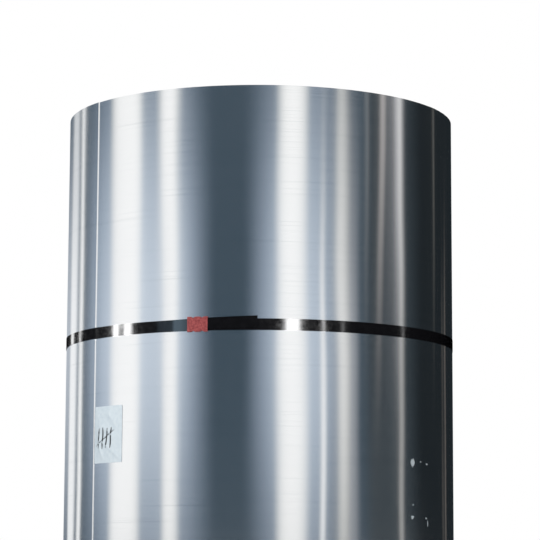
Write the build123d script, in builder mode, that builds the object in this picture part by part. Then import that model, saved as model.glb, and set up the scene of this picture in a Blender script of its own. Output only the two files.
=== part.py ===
import os
from math import acos, atan2, cos, degrees, radians, sin

from build123d import *

# Wound strip, standing on its end with the bore upright.
STRIP_WIDTH = 1500.0
OUTER_RADIUS = 575.0
BORE_RADIUS = 254.0
STRIP_THICKNESS = 3.0

# Angles round the coil are from the front (-Y), growing towards +X.
STRIP_END_ANGLE = -54.5
LEAD_END_ANGLE = 140.0
LEAD_FADE = 75.0

# The turns shift a little in groups, so each end shows rings at different depths.
TURN_GROUPS = 13
TURN_SHIFT = 1.8
SHIFT_RHYTHM = 2.0

# Steel strap, hand tensioned, with its upper end left long.
STRAP_WIDTH = 32.0
STRAP_THICKNESS = 0.9
STRAP_HEIGHT = 828.0
STRAP_TIP_ANGLE = -24.5
TAIL_END_ANGLE = -0.6
TAIL_RISE = 8.0

# Folded seal round both layers of the strap.
SEAL_LENGTH = 59.0
SEAL_HEIGHT = 42.0
SEAL_ANGLE = -17.4
SEAL_THICKNESS = 0.9
SEAL_FLANGE = 10.0
CRIMP_RADIUS = 3.5
CRIMP_SPACING = 26.0

# Paper label beside the end of the strip.
LABEL_WIDTH = 124.0
LABEL_HEIGHT = 160.0
LABEL_BASE = 457.0
LABEL_THICKNESS = 0.4
LABEL_CORNER = 4.0
LABEL_SET_BACK = 1.5

SEAT_CLEARANCE = 0.4
LAYER_CLEARANCE = 0.15
CUT_MARGIN = 5.0

# Below the strip's end the surface lies one thickness lower and rises over half a turn.
lap_offset = STRIP_THICKNESS / 2
lap_radius = OUTER_RADIUS - lap_offset
lap_centre = (-lap_offset, 0)
end_radians = radians(STRIP_END_ANGLE)
lap_plane = Plane(origin=(0, 0, 0), x_dir=(sin(end_radians), -cos(end_radians), 0), z_dir=(0, 0, 1))


def from_strip_end(angle):
    return angle - STRIP_END_ANGLE


def arc_degrees(length):
    return degrees(length / lap_radius)


def leave_angle(lift):
    return degrees(acos(lap_radius / (lap_radius + lift)))


def ring_depth(group):
    if group % 3 == 0:
        return 0.0
    return TURN_SHIFT * (0.65 + 0.35 * sin(SHIFT_RHYTHM * group))


blank_bore = BORE_RADIUS - CUT_MARGIN
blank_radius = OUTER_RADIUS + CUT_MARGIN
group_width = (blank_radius - blank_bore) / TURN_GROUPS
base_points = []
top_points = []
for group in range(TURN_GROUPS):
    for edge in (group, group + 1):
        radius = blank_bore + edge * group_width
        base_points.append((radius, ring_depth(group)))
        top_points.append((radius, STRIP_WIDTH - ring_depth(TURN_GROUPS - 1 - group)))

lead_start = LEAD_END_ANGLE - LEAD_FADE - STRIP_END_ANGLE
lead_offset = STRIP_THICKNESS / (1 - cos(radians(LEAD_FADE)))
lead_centre = (-lead_offset * cos(radians(lead_start)), -lead_offset * sin(radians(lead_start)))

with BuildPart() as coil:
    # turned blank with the rings of turns on its ends
    with BuildSketch(Plane.XZ):
        with BuildLine():
            Polyline(*base_points, *reversed(top_points), close=True)
        make_face()
    revolve(axis=Axis.Z)
    # plan of the wound strip: square outer end on the outside, square inner end in the bore
    with BuildSketch(lap_plane):
        with BuildLine():
            lap = CenterArc(lap_centre, lap_radius, 0, 180)
            turn = CenterArc((0, 0), OUTER_RADIUS, 180, 180)
            Line(turn @ 1, lap @ 0)
        make_face()
        with BuildLine():
            lead = CenterArc(lead_centre, BORE_RADIUS + lead_offset, lead_start, LEAD_FADE)
            lead_tip = lead @ 1
            tip_turn = degrees(atan2(lead_tip.Y, lead_tip.X)) % 360
            wall = CenterArc((0, 0), BORE_RADIUS, tip_turn, 360 + lead_start - tip_turn)
            Line(lead_tip, wall @ 0)
        make_face(mode=Mode.SUBTRACT)
    extrude(amount=STRIP_WIDTH, mode=Mode.INTERSECT)

coil.part.label = "coil"

strap_base = STRAP_HEIGHT - STRAP_WIDTH / 2
lower_lift = SEAL_THICKNESS + LAYER_CLEARANCE
upper_lift = lower_lift + STRAP_THICKNESS + LAYER_CLEARANCE
tip_angle = from_strip_end(STRAP_TIP_ANGLE)
seal_start = from_strip_end(SEAL_ANGLE) - arc_degrees(SEAL_LENGTH) / 2
seal_end = seal_start + arc_degrees(SEAL_LENGTH)
tail_end = from_strip_end(TAIL_END_ANGLE)
joint_angle = tip_angle + arc_degrees(STRAP_WIDTH / 4)
bridge_angle = degrees(acos(lap_radius / (lap_radius + STRIP_THICKNESS)))

with BuildPart() as strap:
    # free upper end, a little askew over the layer below
    with BuildSketch(lap_plane.offset(strap_base - TAIL_RISE)):
        with BuildLine():
            tail_radius = lap_radius + SEAT_CLEARANCE + upper_lift
            inner = CenterArc(lap_centre, tail_radius, tip_angle, tail_end - tip_angle)
            outer = CenterArc(lap_centre, tail_radius + STRAP_THICKNESS, tip_angle, tail_end - tip_angle)
            Line(inner @ 0, outer @ 0)
            Line(inner @ 1, outer @ 1)
        make_face()
    extrude(amount=STRAP_WIDTH + 3 * TAIL_RISE)
    tail_start_x = OUTER_RADIUS * sin(radians(STRAP_TIP_ANGLE))
    tail_end_x = OUTER_RADIUS * sin(radians(TAIL_END_ANGLE)) + CUT_MARGIN
    with BuildSketch(Plane.XZ):
        with BuildLine():
            Polyline(
                (tail_start_x - CUT_MARGIN, strap_base),
                (tail_start_x, strap_base),
                (tail_end_x, strap_base + TAIL_RISE),
                (tail_end_x, strap_base + STRAP_WIDTH + TAIL_RISE),
                (tail_start_x, strap_base + STRAP_WIDTH),
                (tail_start_x - CUT_MARGIN, strap_base + STRAP_WIDTH),
                close=True,
            )
        make_face()
    extrude(amount=2 * OUTER_RADIUS, both=True, mode=Mode.INTERSECT)
    # band once round the coil: under the seal, down to the wound surface, over the strip's end, up on itself
    with BuildSketch(lap_plane.offset(strap_base)):
        with BuildLine():
            starts = []
            ends = []
            for rise in (SEAT_CLEARANCE, SEAT_CLEARANCE + STRAP_THICKNESS):
                under = CenterArc(lap_centre, lap_radius + lower_lift + rise, tip_angle, seal_end - tip_angle)
                touch = seal_end + leave_angle(lower_lift)
                front = CenterArc(lap_centre, lap_radius + rise, touch, 180 - touch)
                back = CenterArc((0, 0), OUTER_RADIUS + rise, 180, 180)
                climb = tip_angle - leave_angle(upper_lift)
                left = CenterArc(lap_centre, lap_radius + rise, bridge_angle, climb - bridge_angle)
                over = CenterArc(lap_centre, lap_radius + upper_lift + rise, tip_angle, joint_angle - tip_angle)
                Line(under @ 1, front @ 0)
                Line(back @ 1, left @ 0)
                Line(left @ 1, over @ 0)
                starts.append(under @ 0)
                ends.append(over @ 1)
            Line(*starts)
            Line(*ends)
        make_face()
    extrude(amount=STRAP_WIDTH)

strap.part.label = "strap"

seal_base = STRAP_HEIGHT + TAIL_RISE / 4 - SEAL_HEIGHT / 2
seal_axis = Axis(lap_plane.from_local_coords(lap_centre), (0, 0, 1))
seal_inner = lap_radius + SEAT_CLEARANCE
seal_slot = seal_inner + SEAL_THICKNESS
seal_roof = seal_inner + upper_lift + STRAP_THICKNESS + LAYER_CLEARANCE
seal_outer = seal_roof + SEAL_THICKNESS
start_radians = radians(STRIP_END_ANGLE + seal_start)
seal_plane = Plane(
    origin=lap_plane.from_local_coords(lap_centre),
    x_dir=(sin(start_radians), -cos(start_radians), 0),
    z_dir=(-cos(start_radians), -sin(start_radians), 0),
)
middle_radians = radians(SEAL_ANGLE)
crimp_plane = Plane(
    origin=(0, 0, seal_base + SEAL_HEIGHT / 2),
    x_dir=(cos(middle_radians), sin(middle_radians), 0),
    z_dir=(sin(middle_radians), -cos(middle_radians), 0),
)

with BuildPart() as strap_seal:
    with BuildSketch(seal_plane):
        with BuildLine():
            low = seal_base
            high = seal_base + SEAL_HEIGHT
            Polyline(
                (seal_inner, low + SEAL_FLANGE),
                (seal_inner, low),
                (seal_outer, low),
                (seal_outer, high),
                (seal_inner, high),
                (seal_inner, high - SEAL_FLANGE),
                (seal_slot, high - SEAL_FLANGE),
                (seal_slot, high - SEAL_THICKNESS),
                (seal_roof, high - SEAL_THICKNESS),
                (seal_roof, low + SEAL_THICKNESS),
                (seal_slot, low + SEAL_THICKNESS),
                (seal_slot, low + SEAL_FLANGE),
                close=True,
            )
        make_face()
    revolve(axis=seal_axis, revolution_arc=arc_degrees(SEAL_LENGTH))
    # crimp notches along both folds
    with BuildSketch(crimp_plane):
        with GridLocations(CRIMP_SPACING, SEAL_HEIGHT, 2, 2):
            Circle(CRIMP_RADIUS)
    extrude(amount=OUTER_RADIUS + STRAP_WIDTH, mode=Mode.SUBTRACT)

strap_seal.part.label = "strap_seal"

label_start = arc_degrees(LABEL_SET_BACK)
label_radius = lap_radius + SEAT_CLEARANCE
label_middle = radians(STRIP_END_ANGLE + label_start + arc_degrees(LABEL_WIDTH) / 2)
label_plane = Plane(
    origin=(0, 0, LABEL_BASE + LABEL_HEIGHT / 2),
    x_dir=(cos(label_middle), sin(label_middle), 0),
    z_dir=(sin(label_middle), -cos(label_middle), 0),
)

with BuildPart() as label:
    with BuildSketch(lap_plane.offset(LABEL_BASE)):
        with BuildLine():
            back_arc = CenterArc(lap_centre, label_radius, label_start, arc_degrees(LABEL_WIDTH))
            face_arc = CenterArc(lap_centre, label_radius + LABEL_THICKNESS, label_start, arc_degrees(LABEL_WIDTH))
            Line(back_arc @ 0, face_arc @ 0)
            Line(back_arc @ 1, face_arc @ 1)
        make_face()
    extrude(amount=LABEL_HEIGHT)
    # cut to rounded corners
    with BuildSketch(label_plane):
        RectangleRounded(LABEL_WIDTH, LABEL_HEIGHT, LABEL_CORNER)
    extrude(amount=OUTER_RADIUS + CUT_MARGIN, mode=Mode.INTERSECT)

label.part.label = "label"

os.makedirs("parts", exist_ok=True)
export_step(coil.part, "parts/coil.step")
export_step(strap.part, "parts/strap.step")
export_step(strap_seal.part, "parts/strap_seal.step")
export_step(label.part, "parts/label.step")
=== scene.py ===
import math
import random

import bmesh
import bpy
from mathutils import Matrix, Vector, noise


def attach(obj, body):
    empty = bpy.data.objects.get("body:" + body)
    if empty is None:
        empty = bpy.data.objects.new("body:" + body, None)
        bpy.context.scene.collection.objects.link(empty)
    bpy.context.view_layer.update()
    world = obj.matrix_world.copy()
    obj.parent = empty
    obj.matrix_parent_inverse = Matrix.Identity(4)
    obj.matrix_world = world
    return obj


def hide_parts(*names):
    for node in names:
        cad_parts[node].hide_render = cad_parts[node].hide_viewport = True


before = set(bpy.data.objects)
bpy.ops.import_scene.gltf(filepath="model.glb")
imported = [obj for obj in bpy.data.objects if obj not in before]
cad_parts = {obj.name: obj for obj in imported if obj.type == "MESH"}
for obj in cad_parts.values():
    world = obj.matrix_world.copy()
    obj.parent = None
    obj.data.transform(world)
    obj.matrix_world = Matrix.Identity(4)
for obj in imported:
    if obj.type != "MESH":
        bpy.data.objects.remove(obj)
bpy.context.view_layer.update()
mm = 0.001
tiny = 1e-6     # metres, closer than this is the same place


# helpers used by every piece

def fromHex(text):
    parts = [int(text[i:i + 2], 16) / 255 for i in (1, 3, 5)]
    return tuple(c / 12.92 if c <= 0.04045 else ((c + 0.055) / 1.055) ** 2.4 for c in parts) + (1.0,)


def addNode(tree, kind, settings=None, links=None):
    node = tree.nodes.new("ShaderNode" + kind)
    for key, value in (settings or {}).items():
        if isinstance(key, int) or key in node.inputs:
            node.inputs[key].default_value = value
        else:
            setattr(node, key, value)
    for key, source in (links or {}).items():
        tree.links.new(source, node.inputs[key])
    return node


def newMaterial(name):
    material = bpy.data.materials.new(name)
    material.use_nodes = True
    material.node_tree.nodes.clear()
    return material, material.node_tree


def newPiece(name, bm, materials, smoothAngle=None):
    mesh = bpy.data.meshes.new(name)
    bm.to_mesh(mesh)
    bm.free()
    for material in materials:
        mesh.materials.append(material)
    if smoothAngle is not None:
        mesh.shade_smooth()
        mesh.set_sharp_from_angle(angle=math.radians(smoothAngle))
    piece = bpy.data.objects.new(name, mesh)
    bpy.context.scene.collection.objects.link(piece)
    return piece


def around(radius, degrees, z):
    # angle from the front (-Y), growing towards +X
    a = math.radians(degrees)
    return Vector((radius * math.sin(a), -radius * math.cos(a), z))


def angleOf(point):
    return math.degrees(math.atan2(point.x, -point.y))


def spinSection(bm, section, angle, sweep, steps):
    # closed section, as (radius, height) points, turned round the coil's axis
    fresh = [bm.verts.new(around(r, angle, z)) for r, z in section]
    lines = [bm.edges.new(pair) for pair in zip(fresh, fresh[1:] + fresh[:1])]
    turned = bmesh.ops.spin(
        bm, geom=fresh + lines, cent=(0, 0, 0), axis=(0, 0, 1), angle=math.radians(sweep), steps=steps,
    )
    return fresh, [g for g in turned["geom_last"] if isinstance(g, bmesh.types.BMEdge)]


def spinBar(section, angle, sweep, steps):
    # the same with both ends closed
    bm = bmesh.new()
    fresh, lastEdges = spinSection(bm, section, angle, sweep, steps)
    bm.faces.new(fresh)
    bmesh.ops.contextual_create(bm, geom=lastEdges)
    return bm


def cutAcross(bm, spot, normal):
    bmesh.ops.bisect_plane(
        bm, geom=bm.verts[:] + bm.edges[:] + bm.faces[:], plane_co=spot, plane_no=normal,
    )


def thicken(bm, verts, thickness):
    # flat patch becomes a closed sheet; the new upper points come back
    patch = list({f for v in verts for f in v.link_faces})
    raised = bmesh.ops.extrude_face_region(bm, geom=patch, use_keep_orig=True)["geom"]
    upper = [g for g in raised if isinstance(g, bmesh.types.BMVert)]
    bmesh.ops.translate(bm, vec=(0, 0, thickness), verts=upper)
    return upper


def easeBetween(low, high, value):
    t = min(1.0, max(0.0, (value - low) / (high - low)))
    return t * t * (3 - 2 * t)


# coil

coilSizes = {
    "radius": 575 * mm,
    "bore": 254 * mm,
    "width": 1500 * mm,
    "thickness": 3 * mm,
    "endAngle": -54.5,      # where the strip's outer end lies
    "leadAngle": 140.0,     # where its inner end lies, in the bore
    "leadFade": 75.0,       # the inner end's step runs out over this many degrees
    "blankMargin": 5 * mm,  # the groups are counted from this far inside the bore to this far outside
    "groups": 13,           # groups of turns that shift together
    "flushGroup": 3,        # every third group stands flush
    "groupShift": 1.8 * mm,
    "shiftMean": 0.65,
    "shiftSwing": 0.35,
    "rhythm": 2.0,
    "bands": 64,            # rings drawn on each end, coarser than the real turns so that they show
    "bandShift": 0.45 * mm,
    "steps": 240,
    "cutSlant": 1 * mm,     # the outer end is cut this much off square
    "weld": 2e-6,
    "sameTurn": 1e-3,       # degrees
    "sameWay": 1e-4,        # between two directions of length 1
    "smoothAngle": 12,
    "seed": 7,
}

lapOffset = coilSizes["thickness"] / 2
lapRadius = coilSizes["radius"] - lapOffset


def woundRadius(turn):
    # outer surface so many degrees past the strip's end: one thickness down, rising over half a turn
    if turn >= 180:
        return coilSizes["radius"]
    t = math.radians(turn)
    return -lapOffset * math.cos(t) + math.sqrt(lapRadius ** 2 - (lapOffset * math.sin(t)) ** 2)


def boreRadius(turn, leadTurn, leadSide):
    # widens to one thickness more up to the strip's inner end, and is plain past it
    fade = coilSizes["leadFade"]
    back = leadTurn - turn
    if back < 0 or back > fade or (back == 0 and not leadSide):
        return coilSizes["bore"]
    share = (1 - math.cos(math.radians(fade - back))) / (1 - math.cos(math.radians(fade)))
    return coilSizes["bore"] + coilSizes["thickness"] * share


def endRelief(chance, outerFirst):
    # (radius, depth) points across one end of the coil
    c = coilSizes
    first, last = c["bore"] + 2 * c["thickness"], c["radius"] - 2 * c["thickness"]
    rings = [first + (last - first) * i / c["bands"] for i in range(c["bands"] + 1)]
    edges = [c["bore"]] + rings + [c["radius"]]
    low = c["bore"] - c["blankMargin"]
    groupWidth = (c["radius"] + c["blankMargin"] - low) / c["groups"]
    points = []
    for inner, outer in zip(edges, edges[1:]):
        group = int(((inner + outer) / 2 - low) / groupWidth)
        if outerFirst:
            group = c["groups"] - 1 - group
        swing = c["shiftMean"] + c["shiftSwing"] * math.sin(c["rhythm"] * group)
        depth = 0.0 if group % c["flushGroup"] == 0 else c["groupShift"] * swing
        depth += c["bandShift"] * chance.random() ** 2
        points += [(inner, depth), (outer, depth)]
    return points


def splitRims(bm, direction, radius):
    # a rim edge that reaches past the step at a strip's end is split where the turn below it starts
    c = coilSizes
    for edge in list(bm.edges):
        a, b = (v.co for v in edge.verts)
        low, high = sorted((a.xy.length, b.xy.length))
        level = abs(a.z - b.z) <= tiny
        inLine = all((p.xy.normalized() - direction).length < c["sameWay"] for p in (a, b))
        onRim = min(abs(low - radius), abs(high - radius)) < tiny
        if level and inLine and onRim and abs(high - low - 2 * c["thickness"]) < tiny:
            bmesh.utils.edge_split(edge, edge.verts[0], 0.5)


def buildCoil(materials):
    c = coilSizes
    chance = random.Random(c["seed"])
    base = endRelief(chance, False)
    top = endRelief(chance, True)
    section = base + [(r, c["width"] - d) for r, d in reversed(top)]
    leadTurn = c["leadAngle"] - c["endAngle"]
    bm = bmesh.new()
    # two spins, parted at the inner end, so that each end of the strip gets its own step
    for start, sweep in ((0.0, leadTurn), (leadTurn, 360.0 - leadTurn)):
        before = len(bm.verts)
        spinSection(bm, section, c["endAngle"] + start, sweep, round(c["steps"] * sweep / 360))
        bm.verts.ensure_lookup_table()
        middle = start + sweep / 2
        for vert in bm.verts[before:]:
            radius = vert.co.xy.length
            turn = angleOf(vert.co) - c["endAngle"]
            turn = middle + (turn - middle + 180) % 360 - 180
            if abs(radius - c["radius"]) < tiny:
                vert.co.xy *= woundRadius(min(360.0, max(0.0, turn))) / radius
            elif abs(radius - c["bore"]) < tiny:
                turn = leadTurn if abs(turn - leadTurn) < c["sameTurn"] else turn
                vert.co.xy *= boreRadius(turn, leadTurn, start == 0.0) / radius
    endDirection = around(1, c["endAngle"], 0).xy
    splitRims(bm, endDirection, c["radius"])
    splitRims(bm, around(1, c["leadAngle"], 0).xy, c["bore"])
    bmesh.ops.remove_doubles(bm, verts=bm.verts, dist=c["weld"])
    bmesh.ops.holes_fill(bm, edges=[e for e in bm.edges if e.is_boundary], sides=0)
    bmesh.ops.recalc_face_normals(bm, faces=bm.faces)
    # tall faces are rolled metal, the ends of the turns are slit
    for face in bm.faces:
        heights = [v.co.z for v in face.verts]
        face.material_index = 0 if max(heights) - min(heights) > c["width"] / 2 else 1
    cutBack = Matrix.Rotation(-c["cutSlant"] / c["radius"], 4, "Z")
    corner = [v for v in bm.verts if (v.co.xy - endDirection * c["radius"]).length < 10 * tiny]
    bmesh.ops.transform(bm, matrix=cutBack, verts=corner)
    return newPiece("wound_strip", bm, materials, c["smoothAngle"])


# strap: one band from its hidden tip, once round, over itself and on to its long free end

strapSizes = {
    "width": 32 * mm,
    "thickness": 0.9 * mm,
    "height": 828 * mm,
    "tipAngle": -24.5,
    "tailAngle": -0.6,
    "tailRise": 8 * mm,
    "seat": 0.3 * mm,
    "layerGap": 0.15 * mm,
    "stepsPerDegree": 2,
    "smoothAngle": 30,
}
sealSizes = {
    "length": 59 * mm,
    "height": 42 * mm,
    "angle": -17.4,
    "thickness": 0.9 * mm,
    "flange": 10 * mm,
    "foldRadius": 1.1 * mm,
    "foldSegments": 4,
    "crimpSpacing": 26 * mm,
    "crimpDepth": 2.6 * mm,
    "crimpFlat": 1.5 * mm,      # half the pressed length at full depth
    "crimpReach": 6 * mm,
    "crimpFade": 9 * mm,
    "rows": 14,
    "steps": 48,
    "smoothAngle": 35,
}
lowerLift = sealSizes["thickness"] + strapSizes["layerGap"]
upperLift = lowerLift + strapSizes["thickness"] + strapSizes["layerGap"]


def pastEnd(angle):
    return angle - coilSizes["endAngle"]


def leaveAngle(lift):
    return math.degrees(math.acos(lapRadius / (lapRadius + lift)))


def straightRise(degrees):
    # how far a straight run stands off the coil this far from where it touches
    return lapRadius / math.cos(math.radians(degrees)) - lapRadius


def strapRadius(turn):
    # inner face of the band so many degrees past the strip's end, up to more than one full turn
    tip = pastEnd(strapSizes["tipAngle"])
    sealEnd = pastEnd(sealSizes["angle"]) + math.degrees(sealSizes["length"] / lapRadius) / 2
    touch = sealEnd + leaveAngle(lowerLift)
    if turn <= sealEnd:
        return woundRadius(turn) + lowerLift
    if turn < touch:
        return woundRadius(turn) + straightRise(touch - turn)
    if turn < 360:
        return woundRadius(turn)
    again = turn - 360
    bridge = leaveAngle(coilSizes["thickness"])
    climb = tip - leaveAngle(upperLift)
    if again < bridge:
        return coilSizes["radius"] * math.cos(math.radians(bridge)) / math.cos(math.radians(bridge - again))
    if again < climb:
        return woundRadius(again)
    if again < tip:
        return woundRadius(again) + straightRise(again - climb)
    return woundRadius(again) + upperLift


def buildStrap(materials):
    s = strapSizes
    low, high = s["height"] - s["width"] / 2, s["height"] + s["width"] / 2
    inner, outer = coilSizes["radius"], coilSizes["radius"] + s["thickness"]
    tip = pastEnd(s["tipAngle"])
    lapped = s["tailAngle"] - s["tipAngle"]
    sweep = 360 + lapped
    steps = round(sweep * s["stepsPerDegree"])
    section = [(inner, low), (outer, low), (outer, high), (inner, high)]
    bm = spinBar(section, s["tipAngle"], sweep, steps)
    bm.verts.index_update()
    for vert in bm.verts:
        turn = tip + sweep * (vert.index // len(section)) / steps
        outward = vert.co.xy.length - inner
        vert.co.xy = vert.co.xy.normalized() * (strapRadius(turn) + s["seat"] + outward)
        if turn > 360 + tip:
            vert.co.z += s["tailRise"] * (turn - 360 - tip) / lapped
    bmesh.ops.recalc_face_normals(bm, faces=bm.faces)
    return newPiece("steel_strap", bm, materials, s["smoothAngle"])


def buildSeal(materials):
    s = sealSizes
    arc = math.degrees(s["length"] / lapRadius)
    low = strapSizes["height"] + strapSizes["tailRise"] / 4 - s["height"] / 2
    high = low + s["height"]
    inner = woundRadius(pastEnd(s["angle"])) + strapSizes["seat"]
    outer = inner + upperLift + strapSizes["thickness"] + strapSizes["layerGap"] + s["thickness"]
    slot, roof = inner + s["thickness"], outer - s["thickness"]
    # folded sheet seen end on, from one flange round to the other and back along its inside
    section = [
        (inner, low + s["flange"]), (inner, low), (outer, low),
        (outer, high), (inner, high), (inner, high - s["flange"]),
        (slot, high - s["flange"]), (slot, high - s["thickness"]), (roof, high - s["thickness"]),
        (roof, low + s["thickness"]), (slot, low + s["thickness"]), (slot, low + s["flange"]),
    ]
    bm = spinBar(section, s["angle"] - arc / 2, arc, s["steps"])
    folds = []
    for edge in bm.edges:
        a, b = (v.co for v in edge.verts)
        runsRound = abs(a.z - b.z) < tiny and abs(a.xy.length - b.xy.length) < tiny
        if runsRound and min(abs(a.z - low), abs(a.z - high)) < tiny:
            folds.append(edge)
    bmesh.ops.bevel(
        bm, geom=folds, offset=s["foldRadius"], offset_type="OFFSET", segments=s["foldSegments"],
        profile=0.5, affect="EDGES", material=-1,
    )
    for i in range(1, s["rows"]):
        cutAcross(bm, (0, 0, low + s["height"] * i / s["rows"]), (0, 0, 1))
    # crimps press both folds towards the strap
    middle = (low + high) / 2
    for vert in bm.verts:
        across = math.radians(angleOf(vert.co) - s["angle"]) * lapRadius
        near = abs(abs(across) - s["crimpSpacing"] / 2)
        press = 1 - easeBetween(s["crimpFlat"], s["crimpReach"], near)
        fold = 1 - easeBetween(0, s["crimpFade"], s["height"] / 2 - abs(vert.co.z - middle))
        vert.co.z -= math.copysign(s["crimpDepth"] * press * fold, vert.co.z - middle)
    bmesh.ops.recalc_face_normals(bm, faces=bm.faces)
    return newPiece("strap_clip", bm, materials, s["smoothAngle"])


# label

labelSizes = {
    "width": 124 * mm,
    "height": 160 * mm,
    "base": 457 * mm,
    "thickness": 0.3 * mm,
    "corner": 4 * mm,
    "cornerSegments": 4,
    "setBack": 1.5 * mm,
    "grid": 3 * mm,
    "lift": 3.5 * mm,           # how far its creases stand off the metal
    "liftFade": (-4 * mm, 30 * mm),     # the creases die out towards the edge over this
    # creases per metre along, slanting and up, and which layer of the noise
    "folds": (16, 6, 13, 3.1),
    "foldSharpness": 5,
    "foldShare": 0.65,
    "ripples": (45, 25, 30, 8.7),
    # felt marker tally: mm from the left, mm tall, mm of lean
    "strokes": ((24, 56, 6), (42, 60, 5), (60, 55, 7), (78, 58, 5), (51, 44, 84)),
    "strokeWidth": 5.5 * mm,
    "strokeHeight": 0.44,       # middle of the tally, as a share of the label
    "strokeFilm": 0.1 * mm,
    "strokeSteps": 20,
    "strokeTaper": 0.5,         # share of the width lost at each end of a stroke
    "taperFrom": 0.3,           # where that starts, as a share of the length from its middle
    "strokeWobble": 2,          # bends along a stroke
    "smoothAngle": 50,
}


def creaseNoise(u, v, pattern):
    along, slant, up, layer = pattern
    return noise.noise(Vector((u * along + v * slant, v * up, layer)))


def labelPoint(u, v, proud):
    # u runs right from the strip's end and v up from the label's foot, both in metres
    s = labelSizes
    turn = math.degrees((s["setBack"] + u) / lapRadius)
    edge = min(u, s["width"] - u, v, s["height"] - v)
    folds = (1 - abs(creaseNoise(u, v, s["folds"]))) ** s["foldSharpness"]
    ripples = 0.5 + 0.5 * creaseNoise(u, v, s["ripples"])
    crease = s["foldShare"] * folds + (1 - s["foldShare"]) * ripples
    rise = s["lift"] * crease * easeBetween(*s["liftFade"], edge)
    radius = woundRadius(turn) + strapSizes["seat"] + rise + proud
    return around(radius, coilSizes["endAngle"] + turn, s["base"] + v)


def buildLabel(materials):
    s = labelSizes
    bm = bmesh.new()
    bmesh.ops.create_grid(bm, x_segments=1, y_segments=1, size=0.5)
    bmesh.ops.scale(bm, vec=(s["width"], s["height"], 1), verts=bm.verts)
    bmesh.ops.translate(bm, vec=(s["width"] / 2, s["height"] / 2, 0), verts=bm.verts)
    bmesh.ops.bevel(
        bm, geom=bm.verts[:], offset=s["corner"], offset_type="OFFSET", segments=s["cornerSegments"],
        profile=0.5, affect="VERTICES", material=-1,
    )
    for size, normal in ((s["width"], Vector((1, 0, 0))), (s["height"], Vector((0, 1, 0)))):
        cuts = int(size / s["grid"])
        for i in range(1, cuts):
            cutAcross(bm, normal * size * i / cuts, normal)
    thicken(bm, bm.verts[:], s["thickness"])
    for left, tall, lean in s["strokes"]:
        made = bmesh.ops.create_grid(bm, x_segments=1, y_segments=s["strokeSteps"], size=0.5)["verts"]
        bmesh.ops.scale(bm, vec=(s["strokeWidth"], tall * mm, 1), verts=made)
        made += thicken(bm, made, s["strokeFilm"])
        for vert in made:
            along = vert.co.y / (tall * mm)
            wobble = noise.noise(Vector((left, along * s["strokeWobble"], 0)))
            vert.co.x *= 1 - s["strokeTaper"] * easeBetween(s["taperFrom"], 0.5, abs(along))
            vert.co.x += (left + lean * along + wobble) * mm
            vert.co.y += s["strokeHeight"] * s["height"]
            vert.co.z += s["thickness"]
        for face in {f for v in made for f in v.link_faces}:
            face.material_index = 1
    for vert in bm.verts:
        vert.co = labelPoint(*vert.co)
    bmesh.ops.recalc_face_normals(bm, faces=bm.faces)
    return newPiece("paper_label", bm, materials, s["smoothAngle"])


# scraps that a second label left at its corners when it was pulled off

scrapSizes = {
    # angle, then place up the coil, width and height in mm, and how far it tapers to a point below
    "places": (
        (48.7, 460, 18, 25, 0.95),
        (52.6, 466, 6, 3, 0.2),
        (55.8, 461, 9, 4, 0.3),
        (48.6, 309, 11, 10, 0.5),
        (55.4, 308, 6, 5, 0.3),
        (56.2, 294, 3, 15, 0.5),
        (48.9, 344, 4, 4, 0.2),
    ),
    "thickness": 0.3 * mm,
    "seat": 0.05 * mm,
    "points": 18,
    "widen": 1.1,
    "tear": 0.6,            # how ragged the edge is
    "tearScale": 4,
}


def buildScraps(material):
    s = scrapSizes
    bm = bmesh.new()
    for angle, height, wide, tall, taper in s["places"]:
        made = bmesh.ops.create_circle(bm, cap_ends=True, segments=s["points"], radius=0.5)["verts"]
        for vert in made:
            vert.co.x *= s["widen"] * (1 + taper * 2 * min(0, vert.co.y))
            spot = Vector((vert.co.x * s["tearScale"] + angle, vert.co.y * s["tearScale"] + height, 0))
            vert.co.xy *= 1 + s["tear"] * noise.noise(spot)
        bmesh.ops.scale(bm, vec=(wide * mm, tall * mm, 1), verts=made)
        made += thicken(bm, made, s["thickness"])
        for vert in made:
            place = angle + math.degrees(vert.co.x / coilSizes["radius"])
            radius = woundRadius(pastEnd(place)) + s["seat"] + vert.co.z
            vert.co = around(radius, place, height * mm + vert.co.y)
    bmesh.ops.recalc_face_normals(bm, faces=bm.faces)
    return newPiece("label_scraps", bm, [material])


# materials

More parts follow.
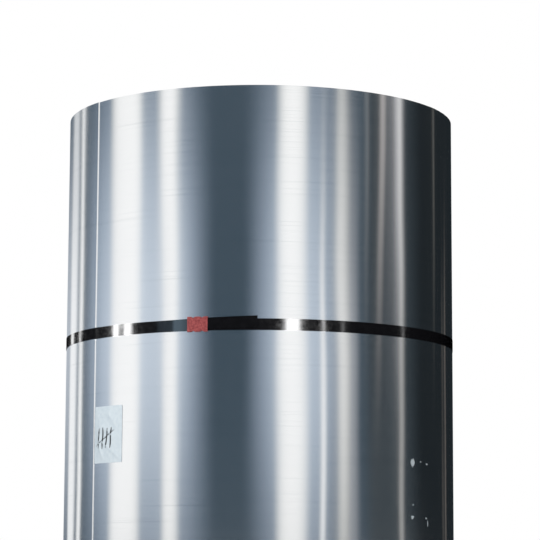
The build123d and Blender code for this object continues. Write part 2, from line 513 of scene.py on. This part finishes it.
def makeAluminium():
    # cold-rolled strip: near-mirror round the coil, smeared upright by grind lines that run round it
    material, tree = newMaterial("rolled aluminium")
    place = addNode(tree, "TexCoord").outputs["Object"]
    # waves in the sheet, about 300 mm round it and 600 mm up
    wavy = addNode(tree, "Mapping", {"Scale": (3.2, 3.2, 1.6)}, {"Vector": place})
    waves = addNode(
        tree, "TexNoise", {"Scale": 1.0, "Detail": 1.0, "Roughness": 0.4},
        {"Vector": wavy.outputs["Vector"]},
    )
    # grind lines 3 mm apart, coarser than real so that they show
    lined = addNode(tree, "Mapping", {"Scale": (2.5, 2.5, 330.0)}, {"Vector": place})
    lines = addNode(
        tree, "TexNoise", {"Scale": 1.0, "Detail": 3.0, "Roughness": 0.6},
        {"Vector": lined.outputs["Vector"]},
    )
    # rolling streaks 18 mm tall and 600 mm long
    streaked = addNode(tree, "Mapping", {"Scale": (1.7, 1.7, 55.0)}, {"Vector": place})
    streaks = addNode(
        tree, "TexNoise", {"Scale": 1.0, "Detail": 2.0, "Roughness": 0.5},
        {"Vector": streaked.outputs["Vector"]},
    )
    stain = addNode(
        tree, "MapRange", {"From Min": 0.6, "From Max": 0.76, "To Min": 0.0, "To Max": 0.16},
        {"Value": streaks.outputs["Fac"]},
    )
    shade = addNode(
        tree, "Math", {"operation": "SUBTRACT"}, {0: lines.outputs["Fac"], 1: stain.outputs["Result"]},
    )
    tone = addNode(tree, "ValToRGB", None, {"Fac": shade.outputs["Value"]})
    tone.color_ramp.elements[0].color = fromHex("#DDE0E2")
    tone.color_ramp.elements[1].position = 0.45
    tone.color_ramp.elements[1].color = fromHex("#F5F6F7")
    gloss = addNode(
        tree, "MapRange", {"From Min": 0.3, "From Max": 0.7, "To Min": 0.185, "To Max": 0.215},
        {"Value": lines.outputs["Fac"]},
    )
    waveBump = addNode(
        tree, "Bump", {"Strength": 1.0, "Distance": 3.5 * mm}, {"Height": waves.outputs["Fac"]},
    )
    lineBump = addNode(
        tree, "Bump", {"Strength": 0.1, "Distance": 0.05 * mm},
        {"Height": lines.outputs["Fac"], "Normal": waveBump.outputs["Normal"]},
    )
    tangent = addNode(tree, "Tangent", {"direction_type": "RADIAL", "axis": "Z"})
    shader = addNode(
        tree, "BsdfPrincipled",
        {"Metallic": 1.0, "Anisotropic": 1.0, "Anisotropic Rotation": 0.25},
        {
            "Base Color": tone.outputs["Color"], "Roughness": gloss.outputs["Result"],
            "Normal": lineBump.outputs["Normal"], "Tangent": tangent.outputs["Tangent"],
        },
    )
    addNode(tree, "OutputMaterial", None, {"Surface": shader.outputs["BSDF"]})
    return material


def makeStripEdges():
    # slit edges of the turns: satin metal, each turn a little lighter or darker than the next
    material, tree = newMaterial("slit aluminium edges")
    place = addNode(tree, "TexCoord").outputs["Object"]
    flat = addNode(tree, "VectorMath", {"operation": "MULTIPLY", 1: (1, 1, 0)}, {0: place})
    reach = addNode(tree, "VectorMath", {"operation": "LENGTH"}, {0: flat.outputs["Vector"]})
    # rings about 6 mm wide, two turns each
    turns = addNode(
        tree, "TexNoise", {"noise_dimensions": "1D", "Scale": 170.0, "Detail": 3.0, "Roughness": 0.75},
        {"W": reach.outputs["Value"]},
    )
    tone = addNode(tree, "ValToRGB", None, {"Fac": turns.outputs["Fac"]})
    tone.color_ramp.elements[0].position = 0.34
    tone.color_ramp.elements[0].color = fromHex("#7C8185")
    tone.color_ramp.elements[1].position = 0.62
    tone.color_ramp.elements[1].color = fromHex("#ECEEF0")
    gloss = addNode(
        tree, "MapRange", {"From Min": 0.3, "From Max": 0.7, "To Min": 0.58, "To Max": 0.46},
        {"Value": turns.outputs["Fac"]},
    )
    ridge = addNode(tree, "Bump", {"Strength": 0.5, "Distance": 0.4 * mm}, {"Height": turns.outputs["Fac"]})
    tangent = addNode(tree, "Tangent", {"direction_type": "RADIAL", "axis": "Z"})
    shader = addNode(
        tree, "BsdfPrincipled",
        {"Metallic": 1.0, "Anisotropic": 0.7, "Anisotropic Rotation": 0.25},
        {
            "Base Color": tone.outputs["Color"], "Roughness": gloss.outputs["Result"],
            "Normal": ridge.outputs["Normal"], "Tangent": tangent.outputs["Tangent"],
        },
    )
    addNode(tree, "OutputMaterial", None, {"Surface": shader.outputs["BSDF"]})
    return material


def makeStrapPaint():
    # black painted and waxed strapping: deep and glossy, a little uneven
    material, tree = newMaterial("black waxed steel strapping")
    place = addNode(tree, "TexCoord").outputs["Object"]
    # smears of wax, 16 mm
    smear = addNode(tree, "TexNoise", {"Scale": 60.0, "Detail": 4.0, "Roughness": 0.6}, {"Vector": place})
    gloss = addNode(
        tree, "MapRange", {"From Min": 0.3, "From Max": 0.7, "To Min": 0.08, "To Max": 0.16},
        {"Value": smear.outputs["Fac"]},
    )
    tone = addNode(tree, "ValToRGB", None, {"Fac": smear.outputs["Fac"]})
    tone.color_ramp.elements[0].color = fromHex("#060607")
    tone.color_ramp.elements[1].color = fromHex("#0E0E10")
    shader = addNode(
        tree, "BsdfPrincipled", {"Metallic": 0.0, "IOR": 1.65},
        {"Base Color": tone.outputs["Color"], "Roughness": gloss.outputs["Result"]},
    )
    addNode(tree, "OutputMaterial", None, {"Surface": shader.outputs["BSDF"]})
    return material


def makeSealPaint():
    # red painted steel, scuffed by the crimping tool
    material, tree = newMaterial("red painted seal steel")
    place = addNode(tree, "TexCoord").outputs["Object"]
    # scuffs, 4 to 5 mm
    scuff = addNode(tree, "TexNoise", {"Scale": 220.0, "Detail": 5.0, "Roughness": 0.7}, {"Vector": place})
    tone = addNode(tree, "ValToRGB", None, {"Fac": scuff.outputs["Fac"]})
    tone.color_ramp.elements[0].position = 0.3
    tone.color_ramp.elements[0].color = fromHex("#702429")
    tone.color_ramp.elements[1].position = 0.72
    tone.color_ramp.elements[1].color = fromHex("#BE605E")
    gloss = addNode(
        tree, "MapRange", {"From Min": 0.3, "From Max": 0.7, "To Min": 0.3, "To Max": 0.5},
        {"Value": scuff.outputs["Fac"]},
    )
    dents = addNode(tree, "Bump", {"Strength": 0.4, "Distance": 0.2 * mm}, {"Height": scuff.outputs["Fac"]})
    shader = addNode(
        tree, "BsdfPrincipled", {"Metallic": 0.0},
        {
            "Base Color": tone.outputs["Color"], "Roughness": gloss.outputs["Result"],
            "Normal": dents.outputs["Normal"],
        },
    )
    addNode(tree, "OutputMaterial", None, {"Surface": shader.outputs["BSDF"]})
    return material


def makePaper():
    # coated white paper under clear tape: pale, slightly blue, with a soft shine
    material, tree = newMaterial("white coated paper")
    place = addNode(tree, "TexCoord").outputs["Object"]
    # cloudiness, 11 mm
    pulp = addNode(tree, "TexNoise", {"Scale": 90.0, "Detail": 4.0, "Roughness": 0.6}, {"Vector": place})
    tone = addNode(tree, "ValToRGB", None, {"Fac": pulp.outputs["Fac"]})
    tone.color_ramp.elements[0].color = fromHex("#BFCED8")
    tone.color_ramp.elements[1].color = fromHex("#E0E9ED")
    shader = addNode(
        tree, "BsdfPrincipled", {"Roughness": 0.45, "Coat Weight": 1.0, "Coat Roughness": 0.1},
        {"Base Color": tone.outputs["Color"]},
    )
    addNode(tree, "OutputMaterial", None, {"Surface": shader.outputs["BSDF"]})
    return material


def makeInk():
    # felt marker ink soaked into the paper
    material, tree = newMaterial("black marker ink")
    place = addNode(tree, "TexCoord").outputs["Object"]
    # uneven soaking, 3 mm
    soak = addNode(tree, "TexNoise", {"Scale": 300.0, "Detail": 2.0}, {"Vector": place})
    tone = addNode(tree, "ValToRGB", None, {"Fac": soak.outputs["Fac"]})
    tone.color_ramp.elements[0].color = fromHex("#15161A")
    tone.color_ramp.elements[1].color = fromHex("#2C2E35")
    shader = addNode(tree, "BsdfPrincipled", {"Roughness": 0.5}, {"Base Color": tone.outputs["Color"]})
    addNode(tree, "OutputMaterial", None, {"Surface": shader.outputs["BSDF"]})
    return material


# build the pieces

coil = buildCoil([makeAluminium(), makeStripEdges()])
print("coil", len(coil.data.polygons), "faces")
strap = buildStrap([makeStrapPaint()])
print("strap", len(strap.data.polygons), "faces")
seal = buildSeal([makeSealPaint()])
print("seal", len(seal.data.polygons), "faces")
paper = makePaper()
label = buildLabel([paper, makeInk()])
print("label", len(label.data.polygons), "faces")
scraps = buildScraps(paper)
print("scraps", len(scraps.data.polygons), "faces")

for piece, node in ((coil, "coil"), (strap, "strap"), (seal, "strap_seal"), (label, "label")):
    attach(piece, "root")
    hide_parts(node)
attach(scraps, "root")


# stage: pale floor, white surroundings and soft light

stageSizes = {
    "floorRadius": 30.0,
    "floorSides": 96,
    "floorColour": "#DDDEDE",
    "soft": 0.62,           # light on paper, paint and floor
    "keySize": (3.0, 2.0),
    "keyPower": 160.0,
    "keyPlace": (-3.4, -4.2, 3.6),
    "keyAim": (0, 0, 0.7),
}


def lightGroup(name, pieces):
    group = bpy.data.collections.new(name)
    for piece in pieces:
        group.objects.link(piece)
    return group


def areaLamp(name, size, power, place, aim):
    lamp = bpy.data.lights.new(name, "AREA")
    lamp.shape = "RECTANGLE"
    lamp.size, lamp.size_y = size
    lamp.energy = power
    holder = bpy.data.objects.new(name, lamp)
    holder.location = place
    holder.rotation_euler = (Vector(aim) - holder.location).to_track_quat("-Z", "Y").to_euler()
    holder.visible_camera = False
    bpy.context.scene.collection.objects.link(holder)
    return holder


# ring of panels that only the shiny surfaces mirror

panelSizes = {
    "radius": 2.2,
    "rows": (
        0, 0.15, 0.3, 0.45, 0.6, 0.75, 0.9, 1.05, 1.2, 1.35, 1.5, 1.65, 1.8, 2.0, 2.3, 2.7, 3.2, 4, 5,
    ),
    "columns": 720,
    "apronRadius": 1.0,             # the panels' own sheen on the floor starts here
    "apronLift": 4 * mm,
    "apronDim": 0.4,
    "wallColour": "#40505D",
    "ceiling": (2.8, 3.8, 0.4),     # the wall brightens between these heights by this much
    # dark flags on the right: where each starts, is whole and stops, and what it lets through
    "flags": ((52, 62, 150, (0.82, 0.69, 0.6)), (80, 100, 150, (0.33, 0.33, 0.33))),
    "flagFade": 8,
    "middle": (1.03, 0.65),         # panels that glow round this height, and how far
    "high": (0.75, 1.9),            # panels that grow from nothing to full between these heights
    "low": (1.05, 1.6, 0.02),       # panels that drop between these heights to this share
    "leanFrom": 1,                  # a leaning panel is at its own azimuth at this height
    "brightest": 1.04,
    # azimuth in degrees from the camera side, half width, feather, brightness, tint,
    # how it stands, lean in degrees per metre
    "panels": (
        (-148, 20, 12, 0.75, "#DCE4F2", "middle", 0),
        (-131, 4, 4.5, 0.9, "#F8FAFB", "even", 0),
        (-131, 4, 4.5, 1.0, "#F8FAFB", "low", 0),
        (-117.5, 1.0, 2.2, 3.4, "#F8FBFA", "even", 0),
        (-106, 4, 9, 0.04, "#DCE4F2", "low", 0),
        (-74, 4, 40, 1.85, "#C8D9F2", "middle", 0),
        (-76.3, 4, 9, 3.2, "#FFFDF2", "even", -1),
        (-44, 1, 21, 1.0, "#C8D9F2", "middle", -2),
        (-47, 0.3, 5.5, 2.6, "#FFFDF2", "even", -2.5),
        (-48, 1, 8, 1.4, "#FFFDF2", "high", -1),
        (19.5, 1, 28.5, 1.75, "#C8D9F2", "middle", 0),
        (16.2, 0.5, 9.5, 3.0, "#FFFDF2", "even", 0),
        (32.3, 0.5, 1.2, 3.0, "#FBFFFB", "low", 0),
        (42.8, 0.3, 3.6, 0.5, "#FFFBEE", "even", -1),
        (43.4, 0.5, 4.5, 0.95, "#FFFBEE", "middle", -1),
        (44, 0.5, 10, 0.36, "#EFEFF4", "middle", 0),
        (48.8, 0.5, 3.5, 0.25, "#EFEFF4", "low", 0),
        (56.6, 0.3, 1.0, 0.32, "#F6F4F0", "high", 0),
        (64.6, 0.9, 1.7, 0.62, "#FFF4EE", "high", 3.3),
        (72, 1.1, 3.0, 0.12, "#F6F2F6", "high", 0),
        (79, 0.3, 5, 0.85, "#F6F2F6", "high", 0),
        (79.9, 0.3, 0.9, 1.3, "#FFFFFF", "high", 0),
        (80.4, 0.6, 1.9, 0.5, "#FFFBF4", "even", 0),
        (112, 0.6, 2, 0.17, "#F5F0E4", "high", 0),
        (128, 0.7, 1.8, 0.16, "#F5E6D8", "low", 0),
    ),
}


def standing(how, height):
    p = panelSizes
    if how == "middle":
        centre, reach = p["middle"]
        return math.exp(-((height - centre) / reach) ** 2)
    if how == "high":
        return easeBetween(*p["high"], height)
    if how == "low":
        start, stop, left = p["low"]
        return 1 - (1 - left) * easeBetween(start, stop, height)
    return 1.0


def panelGlow(azimuth, height):
    p = panelSizes
    glow = fromHex(p["wallColour"])[:3]
    for start, whole, stop, through in p["flags"]:
        shade = easeBetween(start, whole, azimuth) * (1 - easeBetween(stop, stop + p["flagFade"], azimuth))
        glow = [g * (1 - shade * (1 - t)) for g, t in zip(glow, through)]
    low, high, most = p["ceiling"]
    glow = [g + most * easeBetween(low, high, height) for g in glow]
    for centre, half, feather, level, colour, how, lean in p["panels"]:
        away = azimuth - centre - lean * (height - p["leanFrom"])
        away = abs((away + 180) % 360 - 180)
        weight = level * standing(how, height) * (1 - easeBetween(half, half + feather, away))
        glow = [g + weight * c for g, c in zip(glow, fromHex(colour)[:3])]
    # levels off softly, so that no panel mirrors as flat white
    return [p["brightest"] * (1 - math.exp(-g / p["brightest"])) for g in glow]


def buildPanels(mirrors):
    p = panelSizes
    bm = bmesh.new()
    outline = [(p["apronRadius"], 0), ((p["apronRadius"] + p["radius"]) / 2, 0)]
    outline += [(p["radius"], row) for row in p["rows"]]
    stack = [bm.verts.new(around(r, 0, z + p["apronLift"])) for r, z in outline]
    lines = [bm.edges.new(pair) for pair in zip(stack, stack[1:])]
    bmesh.ops.spin(
        bm, geom=stack + lines, cent=(0, 0, 0), axis=(0, 0, 1), angle=2 * math.pi,
        steps=p["columns"], use_merge=True,
    )
    material, tree = newMaterial("studio panels")
    paint = addNode(tree, "VertexColor", {"layer_name": "glow"})
    shine = addNode(tree, "Emission", {"Strength": 1.0}, {"Color": paint.outputs["Color"]})
    addNode(tree, "OutputMaterial", None, {"Surface": shine.outputs["Emission"]})
    material.cycles.emission_sampling = "NONE"      # found by mirrored rays alone, which leaves less grain
    panels = newPiece("panels", bm, [material])
    layer = panels.data.color_attributes.new("glow", "FLOAT_COLOR", "POINT")
    for vert in panels.data.vertices:
        onWall = vert.co.xy.length > p["radius"] - mm
        dim = 1.0 if onWall else p["apronDim"]
        layer.data[vert.index].color = [g * dim for g in panelGlow(angleOf(vert.co), vert.co.z)] + [1.0]
    panels.visible_camera = False
    panels.visible_diffuse = False
    panels.visible_shadow = False
    panels.light_linking.receiver_collection = lightGroup("lit by panels", mirrors)


# narrow strip lights that the black strap alone mirrors

stripLights = {
    "radius": 2.1,
    "stagger": 4 * mm,      # each stands this much further out, so that none hides another
    "height": 1.05,
    "tall": 2.0,
    # azimuth, half width in degrees, brightness, tint
    "places": (
        (-131, 3, 3.0, "#FFFFFF"),
        (-117.5, 1.2, 5.0, "#FFFFFF"),
        (-82, 2.0, 17.0, "#FFFFFF"),
        (-73, 2.6, 17.0, "#FFFFFF"),
        (-77.5, 6, 3.0, "#FFFFFF"),
        (-43, 11, 0.7, "#A9C6DA"),
        (-43, 8.5, 0.7, "#A9C6DA"),
        (-43, 6, 0.8, "#A9C6DA"),
        (-43, 3.5, 0.8, "#A9C6DA"),
        (16.2, 3.4, 18.0, "#FFFFFF"),
        (16.2, 5, 3.0, "#FFFFFF"),
        (32, 0.6, 12.0, "#FFFFFF"),
        (42.4, 0.8, 2.5, "#FFFFFF"),
        (81, 0.7, 2.5, "#FFFFFF"),
        (180, 6, 3.0, "#FFFFFF"),
    ),
}


def buildStripLights(mirrors):
    s = stripLights
    group = lightGroup("lit by strip lights", mirrors)
    for i, (azimuth, half, level, colour) in enumerate(s["places"]):
        reach = s["radius"] + i * s["stagger"]
        wide = 2 * reach * math.sin(math.radians(half))
        power = level * math.pi * wide * s["tall"]
        place, aim = around(reach, azimuth, s["height"]), (0, 0, s["height"])
        strip = areaLamp("strip light", (wide, s["tall"]), power, place, aim)
        strip.data.color = fromHex(colour)[:3]
        strip.light_linking.receiver_collection = group


def buildFloor():
    bm = bmesh.new()
    bmesh.ops.create_circle(
        bm, cap_ends=True, segments=stageSizes["floorSides"], radius=stageSizes["floorRadius"],
    )
    material, tree = newMaterial("pale floor")
    colour = fromHex(stageSizes["floorColour"])
    shader = addNode(
        tree, "BsdfPrincipled", {"Base Color": colour, "Roughness": 0.8, "Specular IOR Level": 0.2},
    )
    addNode(tree, "OutputMaterial", None, {"Surface": shader.outputs["BSDF"]})
    newPiece("floor", bm, [material])


def buildWorld():
    # white to the camera and to mirrored rays, softer as a light
    world = bpy.data.worlds.new("white surroundings")
    bpy.context.scene.world = world
    world.use_nodes = True
    tree = world.node_tree
    tree.nodes.clear()
    rays = addNode(tree, "LightPath").outputs
    seen = addNode(tree, "Math", {"operation": "ADD"}, {0: rays["Is Camera Ray"], 1: rays["Is Glossy Ray"]})
    shown = addNode(
        tree, "Math", {"operation": "ADD", "use_clamp": True},
        {0: seen.outputs["Value"], 1: rays["Is Transmission Ray"]},
    )
    soft = addNode(tree, "Background", {"Color": (1, 1, 1, 1), "Strength": stageSizes["soft"]})
    white = addNode(tree, "Background", {"Color": (1, 1, 1, 1), "Strength": 1.0})
    both = addNode(
        tree, "MixShader", None,
        {0: shown.outputs["Value"], 1: soft.outputs["Background"], 2: white.outputs["Background"]},
    )
    addNode(tree, "OutputWorld", None, {"Surface": both.outputs["Shader"]})


def buildKeyLight():
    s = stageSizes
    key = areaLamp("key softbox", s["keySize"], s["keyPower"], s["keyPlace"], s["keyAim"])
    key.visible_glossy = False


cameraSizes = {
    "distance": 6.903,      # from the coil's axis
    "height": 62.5 * mm,
    "aimUp": 8.233,
    "aimRight": 0.249,
    "roll": 0.266,
    "lens": 154.7,
    "sensor": 36.0,
    "reach": 200.0,
}


def buildCamera():
    c = cameraSizes
    data = bpy.data.cameras.new("camera")
    data.lens, data.sensor_width = c["lens"], c["sensor"]
    data.clip_end = c["reach"]
    camera = bpy.data.objects.new("camera", data)
    camera.location = (0, -c["distance"], c["height"])
    up, right = math.radians(c["aimUp"]), math.radians(c["aimRight"])
    ahead = Vector((math.sin(right) * math.cos(up), math.cos(right) * math.cos(up), math.sin(up)))
    roll = Matrix.Rotation(math.radians(c["roll"]), 3, "Z")
    camera.rotation_euler = (ahead.to_track_quat("-Z", "Y").to_matrix() @ roll).to_euler()
    bpy.context.scene.collection.objects.link(camera)
    bpy.context.scene.camera = camera


buildPanels([coil, seal, label, scraps])
buildStripLights([strap])
buildFloor()
buildWorld()
buildKeyLight()
buildCamera()
bpy.context.scene.view_settings.view_transform = "Standard"
print("stage and camera")
